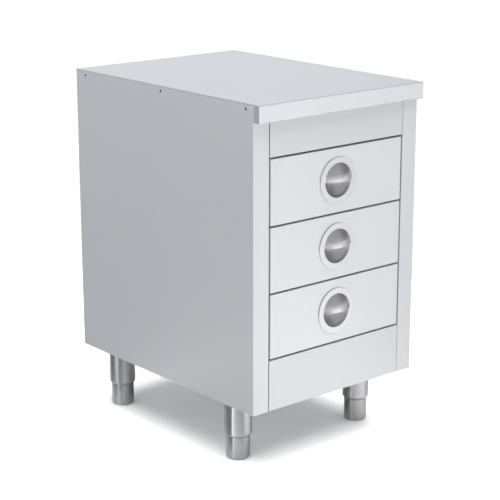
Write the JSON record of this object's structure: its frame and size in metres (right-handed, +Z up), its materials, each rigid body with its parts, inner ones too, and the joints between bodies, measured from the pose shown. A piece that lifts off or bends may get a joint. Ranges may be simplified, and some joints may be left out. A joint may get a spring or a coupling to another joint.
{
  "type": "drawer cabinet",
  "caption": "Stainless steel drawer cabinet with a folded worktop, sliding drawers with round recessed handles, and adjustable round legs.",
  "frame": {"origin": "on the floor, under the middle of the overall box", "axes": "+Z up, -Y out of the drawer fronts, +X to the right when facing the drawers"},
  "size_m": [0.5, 0.685, 0.857],
  "materials": {
    "panel_steel": "fine satin",
    "worktop_steel": "brushed",
    "front_steel": "brushed",
    "tub_steel": "plain mill",
    "handle_steel": "spun satin",
    "leg_steel": "turned satin",
    "runner_zinc": "zinc plated",
    "screw": "blackened",
    "core_board": "raw board"
  },
  "bodies": {
    "cabinet": {"worktop": "worktop_steel", "worktop_core": "core_board", "side_panel_left": "panel_steel", "side_panel_right": "panel_steel", "back_panel": "panel_steel", "base_panel": "panel_steel", "front_top_rail": "front_steel", "front_bottom_rail": "front_steel", "inner_wall_left": "panel_steel", "inner_wall_right": "panel_steel", "leg_sleeve_front_left": "leg_steel", "leg_sleeve_front_right": "leg_steel", "leg_sleeve_back_left": "leg_steel", "leg_sleeve_back_right": "leg_steel", "worktop_screw_left_front": "screw", "worktop_screw_left_mid": "screw", "worktop_screw_left_back": "screw", "worktop_screw_right_front": "screw", "worktop_screw_right_mid": "screw", "worktop_screw_right_back": "screw", "top_runner_outer_left": "runner_zinc", "top_runner_outer_right": "runner_zinc", "middle_runner_outer_left": "runner_zinc", "middle_runner_outer_right": "runner_zinc", "bottom_runner_outer_left": "runner_zinc", "bottom_runner_outer_right": "runner_zinc"},
    "top_drawer": {"top_drawer_front_skin": "front_steel", "top_drawer_front_liner": "tub_steel", "top_drawer_tub": "tub_steel", "top_drawer_handle_cup": "handle_steel", "top_drawer_handle_visor": "handle_steel", "top_runner_inner_left": "runner_zinc", "top_runner_inner_right": "runner_zinc"},
    "top_runner_pair": {"top_runner_middle_left": "runner_zinc", "top_runner_middle_right": "runner_zinc"},
    "middle_drawer": {"middle_drawer_front_skin": "front_steel", "middle_drawer_front_liner": "tub_steel", "middle_drawer_tub": "tub_steel", "middle_drawer_handle_cup": "handle_steel", "middle_drawer_handle_visor": "handle_steel", "middle_runner_inner_left": "runner_zinc", "middle_runner_inner_right": "runner_zinc"},
    "middle_runner_pair": {"middle_runner_middle_left": "runner_zinc", "middle_runner_middle_right": "runner_zinc"},
    "bottom_drawer": {"bottom_drawer_front_skin": "front_steel", "bottom_drawer_front_liner": "tub_steel", "bottom_drawer_tub": "tub_steel", "bottom_drawer_handle_cup": "handle_steel", "bottom_drawer_handle_visor": "handle_steel", "bottom_runner_inner_left": "runner_zinc", "bottom_runner_inner_right": "runner_zinc"},
    "bottom_runner_pair": {"bottom_runner_middle_left": "runner_zinc", "bottom_runner_middle_right": "runner_zinc"},
    "foot_front_left": {"leg_foot_front_left": "leg_steel"},
    "foot_front_right": {"leg_foot_front_right": "leg_steel"},
    "foot_back_left": {"leg_foot_back_left": "leg_steel"},
    "foot_back_right": {"leg_foot_back_right": "leg_steel"}
  },
  "joints": [
    {"name": "top_drawer_slide", "type": "slide", "parent": "cabinet", "child": "top_drawer", "axis": [0, -1, 0], "range_m": [0, 0.5]},
    {"name": "top_runner_slide", "type": "slide", "parent": "cabinet", "child": "top_runner_pair", "axis": [0, -1, 0], "range_m": [0, 0.25]},
    {"name": "middle_drawer_slide", "type": "slide", "parent": "cabinet", "child": "middle_drawer", "axis": [0, -1, 0], "range_m": [0, 0.5]},
    {"name": "middle_runner_slide", "type": "slide", "parent": "cabinet", "child": "middle_runner_pair", "axis": [0, -1, 0], "range_m": [0, 0.25]},
    {"name": "bottom_drawer_slide", "type": "slide", "parent": "cabinet", "child": "bottom_drawer", "axis": [0, -1, 0], "range_m": [0, 0.5]},
    {"name": "bottom_runner_slide", "type": "slide", "parent": "cabinet", "child": "bottom_runner_pair", "axis": [0, -1, 0], "range_m": [0, 0.25]},
    {"name": "foot_front_left_adjust", "type": "slide", "parent": "cabinet", "child": "foot_front_left", "axis": [0, 0, -1], "range_m": [0, 0.03]},
    {"name": "foot_front_right_adjust", "type": "slide", "parent": "cabinet", "child": "foot_front_right", "axis": [0, 0, -1], "range_m": [0, 0.03]},
    {"name": "foot_back_left_adjust", "type": "slide", "parent": "cabinet", "child": "foot_back_left", "axis": [0, 0, -1], "range_m": [0, 0.03]},
    {"name": "foot_back_right_adjust", "type": "slide", "parent": "cabinet", "child": "foot_back_right", "axis": [0, 0, -1], "range_m": [0, 0.03]}
  ],
  "couplings": [
    {"joint": "top_runner_slide", "follows": "top_drawer_slide", "ratio": 0.5},
    {"joint": "middle_runner_slide", "follows": "middle_drawer_slide", "ratio": 0.5},
    {"joint": "bottom_runner_slide", "follows": "bottom_drawer_slide", "ratio": 0.5}
  ]
}
